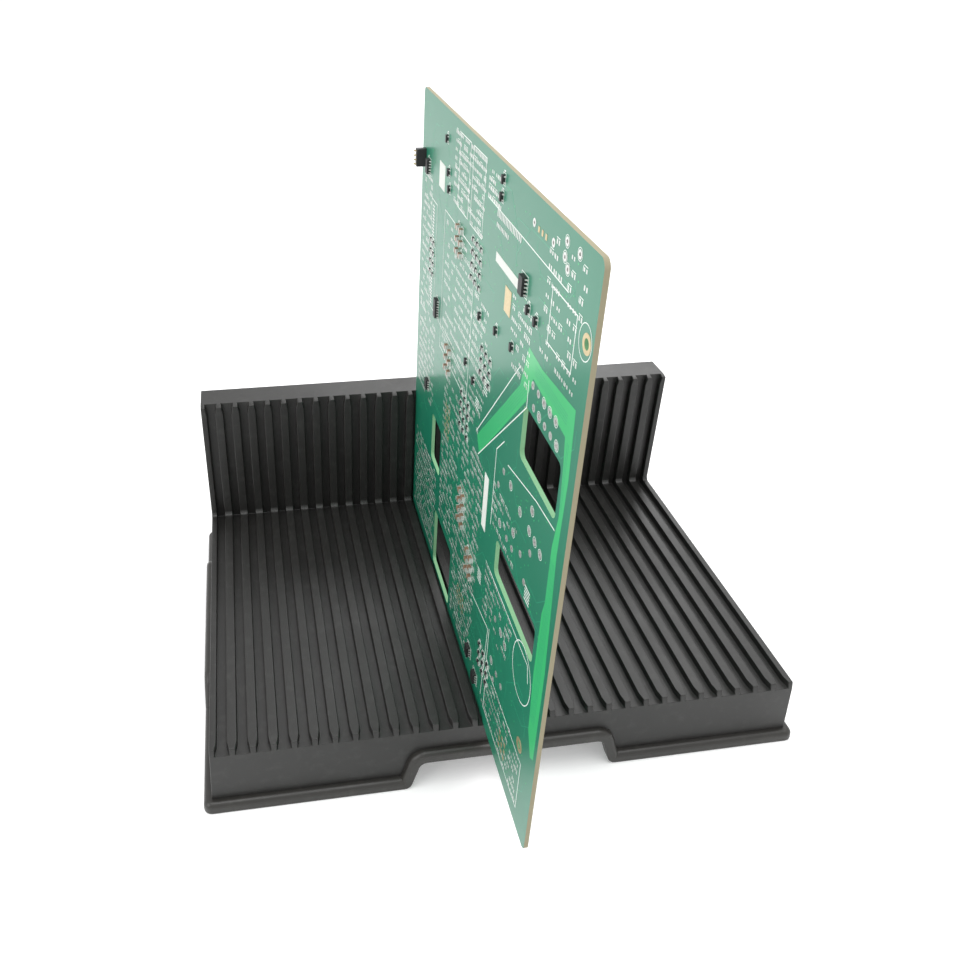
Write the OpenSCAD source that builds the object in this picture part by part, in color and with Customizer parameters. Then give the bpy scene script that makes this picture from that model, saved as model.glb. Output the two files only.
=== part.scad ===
// Bench rack for circuit boards: one L-shaped conductive plastic moulding with
// thirty grooves that run down its wall and along its floor, and one tall board
// standing in a groove. The moulding is divided into the wall sections that a
// drawing of it would name; they meet face to face. X runs across the grooves,
// -Y is the open front, and the table is Z = 0.

/* [Slots] */
// Number of board slots side by side
slot_count = 30; // [24:1:36]
// Clear width of one slot between two ribs
slot_w = 4.3; // [4.1:0.1:5]
// Width of one rib
rib_w = 4.2; // [3.6:0.1:5.4]
// Depth of the grooves below the rib tops
groove_d = 3.1; // [2.6:0.1:3.6]
// Length over which a rib narrows towards its free end
lead_l = 4.9; // [3:0.1:8]
// Width of a rib at its free end
lead_tip_w = 2.3; // [1.6:0.1:3]
// Run of the steep face that closes a rib's free end
lead_run = 0.8; // [0.4:0.1:2]
// Radius of the fillet where a rib turns from the floor up the wall
bend_r = 2.4; // [1:0.1:5]
// Plastic outside the centre line of each border rib
side_margin = 0.8; // [0.4:0.1:2]

/* [Floor and wall] */
// Depth of the floor from the wall's ribs to the front face
floor_d = 163; // [150:1:180]
// Height of the floor's rib tops above the table
floor_h = 32.5; // [30:0.5:45]
// Height of the wall above the floor's rib tops
wall_h = 69.5; // [55:0.5:90]
// Thickness of the hollow wall, ribs included
wall_t = 18.7; // [15:0.1:24]

/* [Moulding] */
// Thickness of the moulded skins
skin_t = 2.8; // [2:0.1:3.4]
// Outward lean of each skirt between its top edge and the table
flare = 1.3; // [0.6:0.1:2.4]
// Thickness of the stiffening webs
web_t = 2.2; // [1.6:0.1:3]
// Height of the webs that hang under the floor
web_h = 10; // [6:0.5:11]
// Number of ribs from one web to the next
web_every = 3; // [2:1:5]

/* [Rim bead] */
// Height of the bead round the foot
bead_h = 5.2; // [4:0.1:7]
// How far the bead stands out from the skirts
bead_proud = 3.4; // [2.6:0.1:5]
// Radius of the bead's upper outer edge
bead_top_r = 2.2; // [1:0.1:2.5]
// Radius of the bead's lower outer edge
bead_foot_r = 0.8; // [0.4:0.1:1.4]

/* [Finger notches] */
// Width of a notch at its top
notch_w = 81; // [60:1:100]
// Height of a notch above the table
notch_h = 14.5; // [12:0.5:16]
// Run of a notch's sloping ends
notch_run = 4.5; // [2:0.5:8]
// Radius of a notch's four bends
notch_r = 3.5; // [2:0.5:5]
// Middle of a side notch, forward of the wall's ribs
side_notch_y = 65; // [60:1:75]

/* [Circuit board] */
// Slot that holds the board, counted from the left
board_slot = 14; // [2:1:23]
// Length of the board from its rear edge to its front edge
board_d = 225; // [215:1:232]
// Height of the board
board_h = 229; // [222:1:240]
// Thickness of the board
board_t = 1.6; // [1.2:0.1:2.4]
// Radius of the board's corners
board_corner_r = 3; // [1:0.5:6]
// Radius of the corners of the board's windows
window_r = 2.5; // [1:0.5:4]
// Gap between the board and the groove floors
seat_gap = 0.3; // [0.1:0.1:0.6]
// Radius of the board's two screw holes
screw_hole_r = 1.6; // [1.2:0.1:2.2]
// Width of the bare metal round a screw hole
screw_land_w = 1.4; // [0.8:0.1:2]
// Thickness of the bare metal pads
pad_t = 0.1; // [0.06:0.02:0.2]

/* [Board parts] */
// Radius of the hole through a plated eyelet
eyelet_bore_r = 0.6; // [0.4:0.05:0.8]
// Width of an eyelet's ring
eyelet_ring_w = 0.75; // [0.4:0.05:1]
// Thickness of an eyelet's plated barrel
eyelet_wall = 0.15; // [0.1:0.05:0.25]
// Spacing of the terminal block's eyelets
terminal_pitch = 5.6; // [4.6:0.1:5.8]
// Length of a chip resistor with its end caps
resistor_l = 3.2; // [2.4:0.1:3.6]
// Width of a chip resistor
resistor_w = 1.6; // [1:0.1:2]
// Height of a chip resistor
resistor_h = 0.6; // [0.4:0.1:1]
// Length of a chip capacitor with its end caps
capacitor_l = 3.4; // [2.4:0.1:4]
// Width of a chip capacitor
capacitor_w = 2; // [1.2:0.1:2.6]
// Height of a chip capacitor
capacitor_h = 1.4; // [0.8:0.1:2]
// Length of each chip's end caps
end_cap_l = 0.6; // [0.3:0.1:0.8]
// Length of a three-legged transistor's case
transistor_l = 3; // [2.4:0.1:3.6]
// Width of a transistor's case
transistor_w = 1.5; // [1.2:0.1:2]
// Height of a transistor's case
transistor_h = 1.1; // [0.8:0.1:1.4]
// Width of a logic chip's case
logic_w = 4; // [3:0.1:5]
// Height of a logic chip's case
logic_h = 1.6; // [1.2:0.1:2]
// Spacing of a logic chip's legs
leg_pitch = 1.27; // [1:0.01:1.4]
// Reach of a leg outside its case
leg_run = 1.1; // [0.8:0.1:1.4]
// Width of a leg
leg_w = 0.5; // [0.3:0.05:0.6]
// Thickness of a leg
leg_t = 0.2; // [0.1:0.05:0.3]
// Height of the pin header's housing
header_h = 4.6; // [3:0.1:6]
// Width of the pin header's housing
header_w = 3.2; // [2.8:0.1:4]
// Spacing of the header's pins
header_pitch = 2; // [1.8:0.1:2.6]
// Number of pins in the header
header_pins = 4; // [2:1:6]
// Thickness of the blank labels
label_t = 0.12; // [0.08:0.02:0.3]

/* [Hidden] */

$fn = 48;

// Moulding
pitch = slot_w + rib_w;
half_w = slot_count * pitch / 2 + side_margin;
deck_z = floor_h - groove_d;
wall_top_z = floor_h + wall_h;
lean = flare / deck_z;
front_reach = max(floor_d + flare + bead_proud, board_d - groove_d + seat_gap);
rear_reach = wall_t + flare + bead_proud;
wall_y = (front_reach - rear_reach) / 2;
front_y = wall_y - floor_d;
rear_y = wall_y + wall_t;
inner_half_w = half_w - skin_t;
bend_steps = 3;
corner_steps = 4;

// Board: u runs forward from its rear edge, v upwards from its bottom edge
top_face = board_t / 2;
slot_x = (board_slot - (slot_count + 1) / 2) * pitch;
fit = 0.02;
eyelet_hole_r = eyelet_bore_r + eyelet_wall + fit;
eyelet_pad_r = eyelet_bore_r + eyelet_ring_w;

// Windows as [left, bottom, width, height]
windows = [
    [board_d - 48, board_h - 86, 37, 20],
    [board_d - 64, 80, 49, 16],
    [43.5, 58, 19.5, 25.5],
    [58, 3.2, 36, 32.3]
];
screw_holes = [[board_d - 4.6, board_h - 24.5], [board_d - 16.8, 38]];
terminal_start = [board_d - 41.6, board_h - 56.2];
terminal_step = [2.6, -6.6];
terminal_count = 5;

// Eyelets that stand alone, round the lower front window and along the top
front_eyelets = [
    [-62.5, 127], [-53.5, 127], [-67.5, 118], [-62, 104.5], [-52.8, 104.5],
    [-46.2, 105], [-46.2, 112], [-41.5, 124.5], [-30, 133], [-30.8, 124.5],
    [-24.8, 124.5], [-19, 124], [-28, 117.5], [-37, 110], [-30.5, 103],
    [-57, 62], [-49, 62.5], [-43, 61.5], [-57, 40], [-49.5, 40], [-43, 40], [-53, 33.5]
];
top_eyelets = [[-55, 8.5], [-37, 8.5], [-26.5, 4.5], [-24, 11.5], [-27, 9], [-16.5, 4.5]];

// Banks of chips as [left, bottom, columns, rows]
resistor_banks = [[100, 176, 3, 4], [122, 146, 3, 3], [96, 108, 3, 4], [150, 22, 3, 3], [24, 150, 2, 4]];
capacitor_banks = [[76, 178, 2, 3], [104, 64, 2, 4], [122, 50, 2, 3], [66, 120, 2, 3]];
bank_step = [6, 5];
transistors = [
    [50.5, 216], [55.5, 203.5], [57.5, 197], [135, 222.5], [134.3, 216.5], [171.5, 192],
    [179.5, 191.5], [117, 166], [139, 170], [158.5, 173], [101, 139], [114, 137]
];
// Logic chips as [left, bottom, legs along each side]
logic_chips = [[14, 194, 5], [42, 135, 7], [164, 196, 5], [146, 8, 4], [134, 12, 4], [28, 90, 4]];
header_at = [5.5, 195];
// Blank labels as [left, bottom, width, height]
labels = [[38, board_h - 34.5, 11, 11], [133, board_h - 34, 27, 3.4], [140, 87, 5.5, 25]];
// Rows of long connector pads as [left, bottom, pads, pad length]
ribbon_rows = [[131, board_h - 18.8, 17, 2.4], [131, board_h - 22.4, 9, 1.6]];
ribbon_step = 1.7;
ribbon_pad_w = 0.8;
// Bare chip sites as [left, bottom, columns, rows]
bare_sites = [[174, board_h - 10, 3, 1], [70, 88, 3, 5], [110, 22, 4, 3], [186, 12, 3, 3]];
bare_pad = [1.4, 1.8];
bare_step = [3.4, 3.6];
// Bare metal field under a chip that isn't fitted, as [left, bottom, width, height]
ground_pad = [146.6, board_h - 46.5, 7.2, 9];

// ---------------------------------------------------------------- helpers

module box_between(a, b) {
    translate(a) cube(b - a);
}

module along_x(width) {
    rotate([90, 0, 90]) linear_extrude(width, center = true) children();
}

module along_y(depth) {
    rotate([90, 0, 0]) linear_extrude(depth, center = true) children();
}

// Rectangle from the origin with round corners, kept as true arcs
module rounded_rect(size, r) {
    translate([r, 0]) square([size[0] - 2 * r, size[1]]);
    translate([0, r]) square([size[0], size[1] - 2 * r]);
    for (x = [r, size[0] - r])
        for (y = [r, size[1] - r])
            translate([x, y]) circle(r);
}

// A solid bar swept through stations of [point, rise vector, outward vector]
module swept_bar(stations, profile) {
    n = len(profile);
    m = len(stations);
    points = [
        for (s = stations)
            for (p = profile)
                s[0] + p[1] * s[1] + p[0] * s[2]
    ];
    sides = [
        for (i = [0 : m - 2])
            for (j = [0 : n - 1])
                [i * n + j, i * n + (j + 1) % n, (i + 1) * n + (j + 1) % n, (i + 1) * n + j]
    ];
    first_end = [for (j = [n - 1 : -1 : 0]) j];
    last_end = [for (j = [0 : n - 1]) (m - 1) * n + j];
    polyhedron(points, concat(sides, [first_end, last_end]));
}

// ------------------------------------------------- lower edge of the skirts

notch_angle = atan(notch_h / notch_run);
bend_tangent = notch_r * tan(notch_angle / 2);

function lower_bend() = [
    for (k = [0 : bend_steps])
        let (t = notch_angle * k / bend_steps)
            [-notch_w / 2 - notch_run - bend_tangent + notch_r * sin(t), notch_r * (1 - cos(t))]
];

function upper_bend() = [
    for (k = [bend_steps : -1 : 0])
        let (t = notch_angle * k / bend_steps)
            [-notch_w / 2 + bend_tangent - notch_r * sin(t), notch_h - notch_r * (1 - cos(t))]
];

function notch_edge(middle) =
    let (left = concat(lower_bend(), upper_bend()))
        concat(
            [for (p = left) [middle + p[0], p[1]]],
            [for (k = [len(left) - 1 : -1 : 0]) [middle - left[k][0], left[k][1]]]
        );

function unit(v) = v / norm(v);
function left_normal(v) = [-v[1], v[0]];

// Vector that offsets one vertex of a path by one unit to its left
function mitre(before, at, after) =
    let (a = left_normal(unit(at - before)), b = left_normal(unit(after - at)))
        (a + b) / (1 + a * b);

// Station on the skirt's leaning face, which faces +Y with its top edge at Y = 0
function face_station(p, rise, outward) = [
    [p[0], flare - lean * p[1], p[1]],
    [rise[0], -lean * rise[1], rise[1]],
    outward
];

function edge_stations(path) = [
    for (i = [1 : len(path) - 2])
        face_station(path[i], mitre(path[i - 1], path[i], path[i + 1]), [0, 1, 0])
];

function corner_station(end, angle) = [
    [end, flare, 0],
    [-sign(end) * lean, -lean, 1],
    [sign(end) * sin(angle), cos(angle), 0]
];

function bead_profile() = concat(
    [[0, 0]],
    [for (k = [0 : 2]) let (t = 45 * k) bead_proud * [1, 0] + bead_foot_r * [sin(t) - 1, 1 - cos(t)]],
    [for (k = [0 : 4]) let (t = 22.5 * k) [bead_proud, bead_h] + bead_top_r * [cos(t) - 1, sin(t) - 1]],
    [[0, bead_h]]
);

// ---------------------------------------------------------------- skirts

// Cross-section of a skirt: X is outward, Y is up
module skirt_section() {
    polygon([
        [0, deck_z], [-skin_t, deck_z], [-skin_t, deck_z - skin_t],
        [flare - skin_t, 0], [flare, 0]
    ]);
}

// A skirt panel that faces +Y; its top edge runs from -left to +right
module skirt_panel(left, right, inset, edge) {
    ends_top = inset > 0 ? [[right, deck_z - skin_t], [right, deck_z], [-left, deck_z], [-left, deck_z - skin_t]]
                         : [[right, deck_z], [-left, deck_z]];
    intersection() {
        along_x(4 * (left + right)) skirt_section();
        along_y(4 * (skin_t + flare))
            polygon(concat([[-left - flare, 0]], edge, [[right + flare, 0]], ends_top));
    }
}

module front_skirt() {
    color("#2b2c2d")
        translate([0, front_y, 0])
            rotate([0, 0, 180])
                skirt_panel(half_w, half_w, 0, notch_edge(0));
}

module rear_skirt() {
    color("#2b2c2d")
        translate([0, rear_y, 0])
            skirt_panel(half_w, half_w, 0, []);
}

module left_skirt() {
    color("#2b2c2d")
        translate([-half_w, wall_y, 0])
            rotate([0, 0, 90])
                skirt_panel(floor_d - skin_t, wall_t - skin_t, skin_t, notch_edge(-side_notch_y));
}

module right_skirt() {
    mirror([1, 0, 0]) left_skirt();
}

// ---------------------------------------------------------------- rim bead

// Bead along a full-width skirt, with a quarter turn round both of its corners
module corner_to_corner_bead(edge) {
    end = half_w + flare;
    path = concat([[-end, 0]], edge, [[end, 0]]);
    turns = [for (k = [0 : corner_steps]) 90 * k / corner_steps];
    swept_bar(
        concat(
            [for (k = [corner_steps : -1 : 0]) corner_station(-end, turns[k])],
            edge_stations(path),
            [for (k = [0 : corner_steps]) corner_station(end, turns[k])]
        ),
        bead_profile()
    );
}

// Bead along the left skirt, from the front corner to the rear corner
module side_bead() {
    path = concat([[-floor_d - flare, 0]], notch_edge(-side_notch_y), [[wall_t + flare, 0]]);
    swept_bar(
        concat(
            [[[path[0][0], flare, 0], [lean, -lean, 1], [0, 1, 0]]],
            edge_stations(path),
            [[[path[len(path) - 1][0], flare, 0], [-lean, -lean, 1], [0, 1, 0]]]
        ),
        bead_profile()
    );
}

module front_bead() {
    color("#323130")
        translate([0, front_y, 0]) rotate([0, 0, 180]) corner_to_corner_bead(notch_edge(0));
}

module rear_bead() {
    color("#323130")
        translate([0, rear_y, 0]) corner_to_corner_bead([]);
}

module left_bead() {
    color("#323130")
        translate([-half_w, wall_y, 0]) rotate([0, 0, 90]) side_bead();
}

module right_bead() {
    mirror([1, 0, 0]) left_bead();
}

// ---------------------------------------------------------------- floor and wall skins

module floor_deck() {
    color("#242526")
        box_between(
            [-inner_half_w, front_y + skin_t, deck_z - skin_t],
            [inner_half_w, wall_y + groove_d + skin_t, deck_z]
        );
}

module wall_front_skin() {
    color("#242526")
        box_between(
            [-inner_half_w, wall_y + groove_d, deck_z],
            [inner_half_w, wall_y + groove_d + skin_t, wall_top_z - skin_t]
        );
}

module wall_back_skin() {
    color("#2b2c2d")
        box_between(
            [-inner_half_w, rear_y - skin_t, deck_z],
            [inner_half_w, rear_y, wall_top_z - skin_t]
        );
}

module wall_cap() {
    color("#35383b")
        box_between(
            [-half_w, wall_y + groove_d, wall_top_z - skin_t],
            [half_w, rear_y, wall_top_z]
        );
}

module left_wall_end() {
    color("#2b2c2d")
        box_between(
            [-half_w, wall_y + groove_d, deck_z],
            [-inner_half_w, rear_y, wall_top_z - skin_t]
        );
}

module right_wall_end() {
    mirror([1, 0, 0]) left_wall_end();
}

// ---------------------------------------------------------------- ribs

// A rib lying along +Y from Y = 0 to its tapered free end, groove_d high.
// left and right are its half widths, and the tips those at its free end.
module rib(length, left, right, left_tip, right_tip) {
    intersection() {
        linear_extrude(groove_d)
            polygon([
                [-left, 0], [right, 0], [right, length - lead_l], [right_tip, length],
                [-left_tip, length], [-left, length - lead_l]
            ]);
        along_x(4 * (left + right))
            polygon([[0, 0], [length, 0], [length - lead_run, groove_d], [0, groove_d]]);
    }
}

module full_rib(length) {
    rib(length, rib_w / 2, rib_w / 2, lead_tip_w / 2, lead_tip_w / 2);
}

// The half rib on the left border, straight on its outer side
module border_rib(length) {
    rib(length, side_margin, rib_w / 2, side_margin, lead_tip_w / 2);
}

// Concave fillet between the floor's rib tops and a wall rib, centred on X = 0
module bend_fillet(width) {
    rotate([90, 0, -90])
        linear_extrude(width, center = true)
            difference() {
                square(bend_r);
                translate([bend_r, bend_r]) circle(bend_r);
            }
}

module wall_rib_place(x) {
    translate([x, wall_y + groove_d, floor_h]) rotate([90, 0, 0]) children();
}

module left_border_wall_rib() {
    wall_rib_place(-half_w + side_margin) border_rib(wall_h);
    translate([-half_w + (side_margin + rib_w / 2) / 2, wall_y, floor_h])
        bend_fillet(side_margin + rib_w / 2);
}

module floor_ribs() {
    color("#46433f") {
        for (i = [1 : slot_count - 1])
            translate([(i - slot_count / 2) * pitch, wall_y + groove_d, deck_z])
                mirror([0, 1, 0]) full_rib(floor_d + groove_d);
        for (side = [0, 1])
            mirror([side, 0, 0])
                translate([-half_w + side_margin, wall_y + groove_d, deck_z])
                    mirror([0, 1, 0]) border_rib(floor_d + groove_d);
    }
}

module wall_ribs() {
    color("#2a2c2f") {
        for (i = [1 : slot_count - 1]) {
            x = (i - slot_count / 2) * pitch;
            union() {
                wall_rib_place(x) full_rib(wall_h);
                translate([x, wall_y, floor_h]) bend_fillet(rib_w);
            }
        }
        for (side = [0, 1])
            mirror([side, 0, 0]) left_border_wall_rib();
    }
}

// ---------------------------------------------------------------- stiffening webs

// Each web stands under a rib
web_places = [for (i = [web_every : web_every : slot_count - 1]) (i - slot_count / 2) * pitch];

module deck_webs() {
    web_top = deck_z - skin_t;
    color("#242526")
        for (x = web_places)
            box_between(
                [x - web_t / 2, front_y + skin_t, web_top - web_h],
                [x + web_t / 2, wall_y + groove_d + skin_t, web_top]
            );
}

module wall_webs() {
    color("#242526")
        for (x = web_places)
            box_between(
                [x - web_t / 2, wall_y + groove_d + skin_t, deck_z - skin_t],
                [x + web_t / 2, rear_y - skin_t, wall_top_z - skin_t]
            );
}

// ---------------------------------------------------------------- circuit board

// Puts a drawing in the board's own plane, X forward, Y up, Z out of its
// component side, into the slot
module on_board() {
    translate([slot_x, wall_y + groove_d - seat_gap, deck_z + seat_gap])
        rotate([90, 0, -90]) children();
}

module on_face(at) {
    on_board() translate([at[0], at[1], top_face]) children();
}

function terminal_at(column, row) = [
    terminal_start[0] + column * terminal_pitch + row * terminal_step[0],
    terminal_start[1] + row * terminal_step[1]
];

function from_front(list) = [for (p = list) [board_d + p[0], p[1]]];
function from_top_front(list) = [for (p = list) [board_d + p[0], board_h - p[1]]];
loose_places = concat(from_front(front_eyelets), from_top_front(top_eyelets));
terminal_places = [for (row = [0, 1]) for (column = [0 : terminal_count - 1]) terminal_at(column, row)];

module board_laminate() {
    color("#12905c")
        on_board()
            linear_extrude(board_t, center = true)
                difference() {
                    rounded_rect([board_d, board_h], board_corner_r);
                    for (w = windows)
                        translate([w[0], w[1]]) rounded_rect([w[2], w[3]], window_r);
                    for (p = screw_holes)
                        translate(p) circle(screw_hole_r);
                    for (p = concat(terminal_places, loose_places))
                        translate(p) circle(eyelet_hole_r);
                }
}

module ring(outer_r, inner_r, height) {
    linear_extrude(height)
        difference() {
            circle(outer_r);
            circle(inner_r);
        }
}

module screw_lands() {
    color("#c9c2a4")
        on_board()
            for (p = screw_holes)
                for (z = [top_face, -top_face - pad_t])
                    translate([p[0], p[1], z])
                        ring(screw_hole_r + fit + screw_land_w, screw_hole_r + fit, pad_t);
}

// Plated eyelet: a barrel through the board with a ring on each face
module eyelet() {
    barrel_h = board_t + 2 * pad_t;
    rotate_extrude() {
        translate([eyelet_bore_r, -barrel_h / 2]) square([eyelet_wall, barrel_h]);
        for (z = [top_face, -top_face - pad_t])
            translate([eyelet_bore_r, z]) square([eyelet_ring_w, pad_t]);
    }
}

module terminal_eyelets() {
    color("#d8d8d0")
        on_board()
            for (p = terminal_places) translate(p) eyelet();
}

module loose_eyelets() {
    color("#d8d8d0")
        on_board()
            for (p = loose_places) translate(p) eyelet();
}

module ribbon_pads() {
    color("#d6d6cc")
        for (r = ribbon_rows)
            for (i = [0 : r[2] - 1])
                on_face([r[0] + i * ribbon_step, r[1]]) cube([ribbon_pad_w, r[3], pad_t]);
}

module chip_pads() {
    color("#cfcdc0")
        for (s = bare_sites)
            for (column = [0 : s[2] - 1])
                for (row = [0 : s[3] - 1])
                    on_face([s[0] + column * bare_step[0], s[1] + row * bare_step[1]])
                        cube([bare_pad[0], bare_pad[1], pad_t]);
    color("#cfcdc0")
        on_face([ground_pad[0], ground_pad[1]]) cube([ground_pad[2], ground_pad[3], pad_t]);
}

function bank_places(banks) = [
    for (b = banks)
        for (column = [0 : b[2] - 1])
            for (row = [0 : b[3] - 1])
                [b[0] + column * bank_step[0], b[1] + row * bank_step[1]]
];

module chip_body(length, width, height) {
    translate([end_cap_l, 0, 0]) cube([length - 2 * end_cap_l, width, height]);
}

module chip_caps(length, width, height) {
    for (x = [0, length - end_cap_l])
        translate([x, 0, 0]) cube([end_cap_l, width, height]);
}

module resistor_bodies() {
    color("#1d1e20")
        for (p = bank_places(resistor_banks)) on_face(p) chip_body(resistor_l, resistor_w, resistor_h);
}

module resistor_caps() {
    color("#d9d9d4")
        for (p = bank_places(resistor_banks)) on_face(p) chip_caps(resistor_l, resistor_w, resistor_h);
}

module capacitor_bodies() {
    color("#8a6748")
        for (p = bank_places(capacitor_banks)) on_face(p) chip_body(capacitor_l, capacitor_w, capacitor_h);
}

module capacitor_caps() {
    color("#d9d9d4")
        for (p = bank_places(capacitor_banks)) on_face(p) chip_caps(capacitor_l, capacitor_w, capacitor_h);
}

// A bent leg that leaves its case at half height and stands on the board.
// It reaches along +X from the case's side and is centred on Y = 0.
module bent_leg(case_h) {
    shoulder = leg_run * 0.4;
    rotate([90, 0, 0])
        linear_extrude(leg_w, center = true)
            polygon([
                [0, case_h / 2], [shoulder, case_h / 2], [shoulder, leg_t], [leg_run, leg_t],
                [leg_run, 0], [shoulder - leg_t, 0], [shoulder - leg_t, case_h / 2 - leg_t],
                [0, case_h / 2 - leg_t]
            ]);
}

module case_block(length, width, height) {
    translate([0, 0, leg_t / 4]) cube([width, length, height - leg_t / 4]);
}

module transistor_cases() {
    color("#141517")
        for (p = transistors)
            on_face(p) case_block(transistor_l, transistor_w, transistor_h);
}

module transistor_legs() {
    leg_inset = leg_w;
    color("#dcdcd6")
        for (p = transistors)
            on_face(p) {
                for (y = [leg_inset, transistor_l - leg_inset])
                    translate([transistor_w, y, 0]) bent_leg(transistor_h);
                translate([0, transistor_l / 2, 0]) rotate([0, 0, 180]) bent_leg(transistor_h);
            }
}

function logic_l(legs) = legs * leg_pitch;

module logic_cases() {
    color("#141517")
        for (c = logic_chips)
            on_face([c[0], c[1]]) case_block(logic_l(c[2]), logic_w, logic_h);
}

module logic_legs() {
    color("#dcdcd6")
        for (c = logic_chips)
            for (i = [0 : c[2] - 1])
                on_face([c[0], c[1] + (i + 0.5) * leg_pitch]) {
                    translate([logic_w, 0, 0]) bent_leg(logic_h);
                    rotate([0, 0, 180]) bent_leg(logic_h);
                }
}

// Upright pin header: its pins pass up through the housing
header_l = header_pins * header_pitch;
pin_w = 0.6;
pin_above = 1.2;

module header_housing() {
    color("#101113")
        on_face(header_at)
            difference() {
                cube([header_w, header_l, header_h]);
                for (i = [0 : header_pins - 1])
                    translate([header_w / 2, (i + 0.5) * header_pitch, header_h / 2])
                        cube([pin_w + 2 * fit, pin_w + 2 * fit, 2 * header_h], center = true);
            }
}

module header_pins_row() {
    color("#d5d0bd")
        on_face(header_at)
            for (i = [0 : header_pins - 1])
                translate([header_w / 2 - pin_w / 2, (i + 0.5) * header_pitch - pin_w / 2, 0])
                    cube([pin_w, pin_w, header_h + pin_above]);
}

module blank_labels() {
    color("#e4e6de")
        for (l = labels)
            on_face([l[0], l[1]]) cube([l[2], l[3], label_t]);
}

floor_deck();
front_skirt();
rear_skirt();
left_skirt();
right_skirt();
wall_front_skin();
wall_back_skin();
wall_cap();
left_wall_end();
right_wall_end();
floor_ribs();
wall_ribs();
front_bead();
rear_bead();
left_bead();
right_bead();
deck_webs();
wall_webs();
board_laminate();
screw_lands();
terminal_eyelets();
loose_eyelets();
ribbon_pads();
chip_pads();
resistor_bodies();
resistor_caps();
capacitor_bodies();
capacitor_caps();
transistor_cases();
transistor_legs();
logic_cases();
logic_legs();
header_housing();
header_pins_row();
blank_labels();
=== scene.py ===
# %% [markdown]
# # A slotted bench rack with a circuit board in it
# The rack is one piece of black conductive plastic, bent like the letter L. Thirty
# grooves run along its floor and up its wall, and a tall green board stands in one.
# Every lesson below takes its places from the solids that are loaded first, so
# nothing here has to be fitted by eye.

# %% Load the solids
import math
import random

import bmesh
import bpy
from mathutils import Matrix, Vector


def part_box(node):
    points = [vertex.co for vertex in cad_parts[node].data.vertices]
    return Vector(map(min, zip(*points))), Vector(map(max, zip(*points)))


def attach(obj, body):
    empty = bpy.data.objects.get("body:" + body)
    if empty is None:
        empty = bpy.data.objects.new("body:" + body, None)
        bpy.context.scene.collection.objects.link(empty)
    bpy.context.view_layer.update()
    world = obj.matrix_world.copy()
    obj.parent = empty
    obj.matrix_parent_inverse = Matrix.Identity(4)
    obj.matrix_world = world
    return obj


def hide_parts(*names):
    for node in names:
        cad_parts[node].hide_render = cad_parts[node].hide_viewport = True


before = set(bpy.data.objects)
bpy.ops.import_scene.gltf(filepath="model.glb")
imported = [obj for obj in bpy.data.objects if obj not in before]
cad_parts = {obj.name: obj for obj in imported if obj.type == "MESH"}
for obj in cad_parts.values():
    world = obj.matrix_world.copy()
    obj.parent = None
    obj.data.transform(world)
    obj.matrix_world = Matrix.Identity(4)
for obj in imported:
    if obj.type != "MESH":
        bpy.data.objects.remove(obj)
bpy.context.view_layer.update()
print("solids loaded:", len(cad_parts))

# %% [markdown]
# ## The measures that everything shares
# A few sizes of the rack are read from the boxes of its solids: the plane of the
# floor's rib tops, the plane of the wall's rib tops, and the board's two faces. The
# board gets coordinates of its own, u forward from its rear edge and v up from its
# foot, in millimetres, because that is how a board's maker would give a place on it.

# %% Read the planes and edges
MM = 0.001
slot_pitch = 8.5 * MM
groove_depth = 3.1 * MM
floor_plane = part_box("floor_ribs")[1].z
wall_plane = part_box("wall_ribs")[1].y - groove_depth
board_low, board_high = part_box("board_laminate")
print("floor ribs end at z =", round(floor_plane, 4), "and wall ribs at y =", round(wall_plane, 4))

COMPONENT_SIDE = -1
SOLDER_SIDE = 1


def board_place(u, v, proud=0.0, side=COMPONENT_SIDE):
    """A point on a face of the board; u, v and proud are in millimetres."""
    face_x = board_low.x if side == COMPONENT_SIDE else board_high.x
    return Vector((face_x + side * proud * MM, board_high.y - u * MM, board_low.z + v * MM))


# %% [markdown]
# ## The camera
# The camera looks down on the rack from its open front, a little to the left of the
# board, so the component side shows at a narrow angle. It is placed by its distance
# from the corner where floor and wall meet, counted in slots. The lens is a plain
# 34 mm one, and the sensor is shifted so that the rack sits in the frame.

# %% Place the camera
camera_data = bpy.data.cameras.new("bench_camera")
camera = bpy.data.objects.new("bench_camera", camera_data)
bpy.context.scene.collection.objects.link(camera)
camera_data.sensor_width = 36.0
camera_data.lens = 33.742
camera_data.shift_x = 0.1007
camera_data.shift_y = -0.0609
camera_data.clip_start = 0.01
camera_data.clip_end = 20.0

yaw, pitch_down, roll = 0.1585, 0.5326, 0.0091
forward = Vector((
    math.sin(yaw) * math.cos(pitch_down),
    math.cos(yaw) * math.cos(pitch_down),
    -math.sin(pitch_down),
))
level_right = Vector((math.cos(yaw), -math.sin(yaw), 0.0))
level_up = level_right.cross(forward)
right = level_right * math.cos(roll) + level_up * math.sin(roll)
up = level_up * math.cos(roll) - level_right * math.sin(roll)
camera_place = Vector((
    (3.434 - 15) * slot_pitch,
    wall_plane - 49.03 * slot_pitch,
    floor_plane + 35.516 * slot_pitch,
))
camera.matrix_world = Matrix((
    (right.x, up.x, -forward.x, camera_place.x),
    (right.y, up.y, -forward.y, camera_place.y),
    (right.z, up.z, -forward.z, camera_place.z),
    (0.0, 0.0, 0.0, 1.0),
))
bpy.context.scene.camera = camera
print("camera at", [round(c, 3) for c in camera_place])

# %% [markdown]
# ## Helpers for materials
# A material is a small network of nodes. These helpers start one, join two sockets
# and set plain values, so that each finish below reads as a list of what it is.


# %% Start a material
def new_finish(name):
    """An empty node material; returns it and its Principled shader."""
    material = bpy.data.materials.new(name)
    material.use_nodes = True
    return material, material.node_tree.nodes["Principled BSDF"]


def join_sockets(tree, source, target):
    """One wire of a node network."""
    tree.links.new(source, target)


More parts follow.
